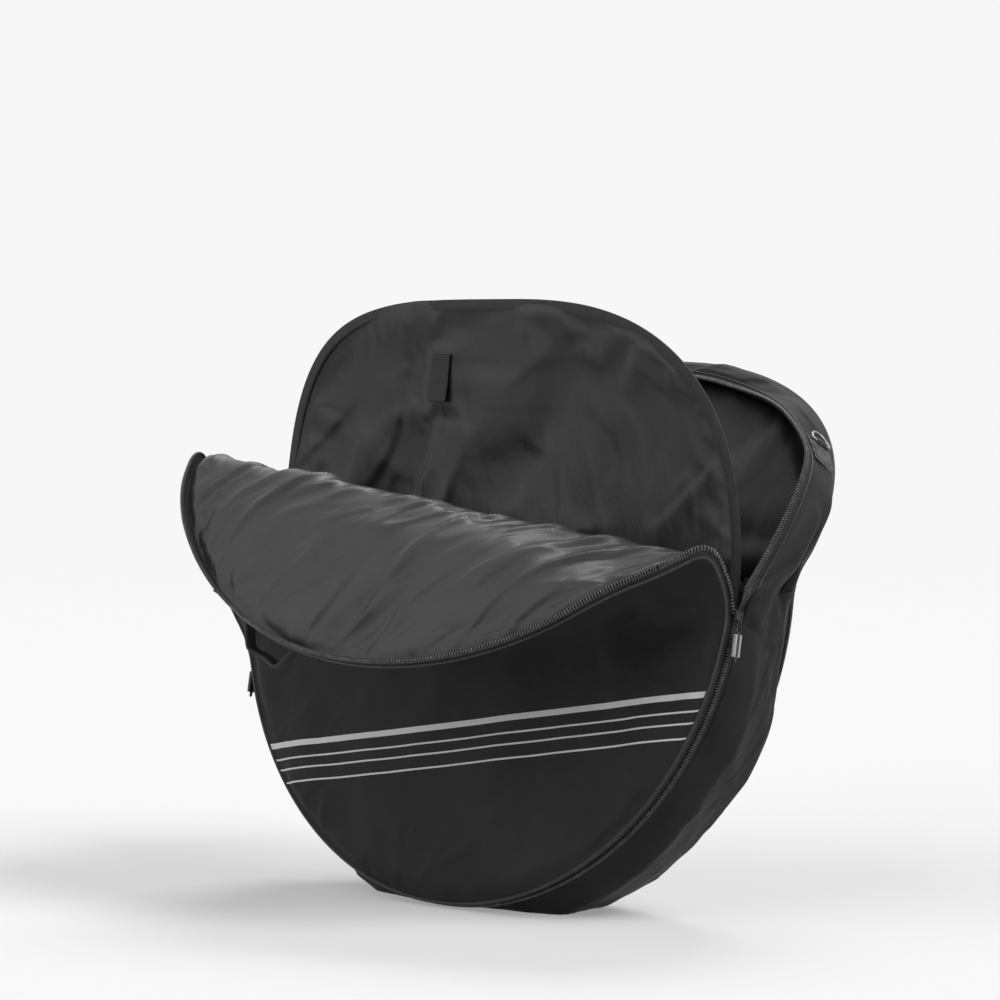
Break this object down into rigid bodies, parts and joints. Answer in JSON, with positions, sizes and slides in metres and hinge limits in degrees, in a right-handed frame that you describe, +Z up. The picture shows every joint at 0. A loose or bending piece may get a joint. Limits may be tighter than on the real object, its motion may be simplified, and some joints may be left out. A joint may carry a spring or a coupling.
{
  "type": "bike wheel bag",
  "caption": "Round padded bag for bicycle wheels, standing open: front flap folded down, back hood slumped, zip halves parted at the sliders, dividing cloth between the compartments.",
  "frame": {"origin": "middle of the flat patch that the bag stands on", "axes": "+Z up, the front panel faces -Y, and +X is to the right of someone who looks at it from outside"},
  "size_m": [0.7234, 0.5901, 0.6376],
  "materials": {
    "nylon": "matt coated ripstop cloth",
    "lining": "satin woven lining",
    "foam": "closed-cell foam sheet",
    "piping": "satin covered cord",
    "zip_tape": "woven tape",
    "zip_coil": "satin nylon coil",
    "webbing": "ribbed webbing",
    "dark_steel": "satin black",
    "grip": "light grey moulding"
  },
  "bodies": {
    "bag": {"back_panel_foam": "foam", "back_panel_lining": "lining", "back_panel_outer": "nylon", "back_piping": "piping", "front_panel_foam": "foam", "front_panel_lining": "lining", "front_panel_outer": "nylon", "front_piping": "piping", "gusset_lower": "nylon", "zip_tape_front": "zip_tape", "zip_tape_gusset": "zip_tape", "zip_teeth_front": "zip_coil", "zip_teeth_gusset": "zip_coil"},
    "yoke": {"yoke_foam": "foam", "yoke_lining": "lining", "yoke_outer": "nylon", "yoke_piping_left": "piping", "yoke_piping_right": "piping", "yoke_zip_left": "zip_tape", "yoke_zip_right": "zip_tape"},
    "shoulder": {"shoulder_foam": "foam", "shoulder_lining": "lining", "shoulder_outer": "nylon", "shoulder_piping_left": "piping", "shoulder_piping_right": "piping", "shoulder_zip_left": "zip_tape", "shoulder_zip_right": "zip_tape"},
    "flap": {"flap_foam": "foam", "flap_lining": "lining", "flap_outer": "nylon", "flap_piping": "piping", "flap_zip": "zip_tape", "handle_foot_left": "webbing", "handle_foot_right": "webbing"},
    "handle": {"handle_loop": "webbing"},
    "divider": {"divider_binding": "piping", "divider_sheet": "lining", "divider_tab": "webbing"},
    "hood": {"corner_webbing": "webbing", "hood_foam": "foam", "hood_gusset": "nylon", "hood_lining": "lining", "hood_outer": "nylon", "hood_piping": "piping", "hood_zip_tape": "zip_tape", "hood_zip_teeth": "zip_coil", "ring_loop": "webbing"},
    "ring": {"d_ring": "dark_steel"},
    "slider_right": {"slider_right": "dark_steel"},
    "puller_right": {"grip_right_back": "grip", "grip_right_front": "grip", "puller_right": "dark_steel"},
    "slider_left": {"slider_left": "dark_steel"},
    "puller_left": {"grip_left_back": "grip", "grip_left_front": "grip", "puller_left": "dark_steel"}
  },
  "joints": [
    {"name": "shoulder_hinge", "type": "hinge", "parent": "yoke", "child": "shoulder", "pos_m": [0.02037, -0.08453, 0.42663], "axis": [-0.9809, -0.1455, 0.1293], "range_deg": [0, 90.3]},
    {"name": "yoke_hinge", "type": "hinge", "parent": "bag", "child": "yoke", "pos_m": [0.00495, -0.01684, 0.29493], "axis": [-0.9936, -0.0206, -0.1113], "range_deg": [0, 38.3]},
    {"name": "flap_hinge", "type": "hinge", "parent": "shoulder", "child": "flap", "pos_m": [0.01602, -0.16634, 0.38553], "axis": [-0.9832, -0.0969, 0.1548], "range_deg": [0, 26.1]},
    {"name": "handle_swing", "type": "hinge", "parent": "flap", "child": "handle", "pos_m": [-0.07844, -0.23334, 0.30817], "axis": [0.9271, -0.0717, -0.3679], "range_deg": [-30, 95]},
    {"name": "divider_tilt", "type": "hinge", "parent": "bag", "child": "divider", "pos_m": [0, 0.0085, 0.0015], "axis": [-1, 0, 0], "range_deg": [-4.6, 0]},
    {"name": "hood_hinge", "type": "hinge", "parent": "bag", "child": "hood", "pos_m": [0, 0.09971, 0.3584], "axis": [1, 0, 0], "range_deg": [0, 42]},
    {"name": "ring_swing", "type": "hinge", "parent": "hood", "child": "ring", "pos_m": [0.29932, 0.19748, 0.48928], "axis": [0.3051, 0.7973, -0.5208], "range_deg": [0, 150]},
    {"name": "slider_right_run", "type": "hinge", "parent": "bag", "child": "slider_right", "pos_m": [0, -0.00892, 0.33765], "axis": [0, 0.9833, -0.1822], "range_deg": [0, 60]},
    {"name": "slider_left_run", "type": "hinge", "parent": "bag", "child": "slider_left", "pos_m": [0, -0.00892, 0.33765], "axis": [0, -0.9833, 0.1822], "range_deg": [0, 48]},
    {"name": "puller_right_swing", "type": "hinge", "parent": "slider_right", "child": "puller_right", "pos_m": [0.34358, 0.00253, 0.316], "axis": [0, -0.9833, 0.1822], "range_deg": [-2, 120]},
    {"name": "puller_left_swing", "type": "hinge", "parent": "slider_left", "child": "puller_left", "pos_m": [-0.33045, -0.01147, 0.24049], "axis": [0, 0.9833, -0.1822], "range_deg": [-15, 120]}
  ],
  "couplings": [
    {"joint": "yoke_hinge", "follows": "shoulder_hinge", "ratio": 0.42414},
    {"joint": "flap_hinge", "follows": "shoulder_hinge", "ratio": 0.28904}
  ]
}
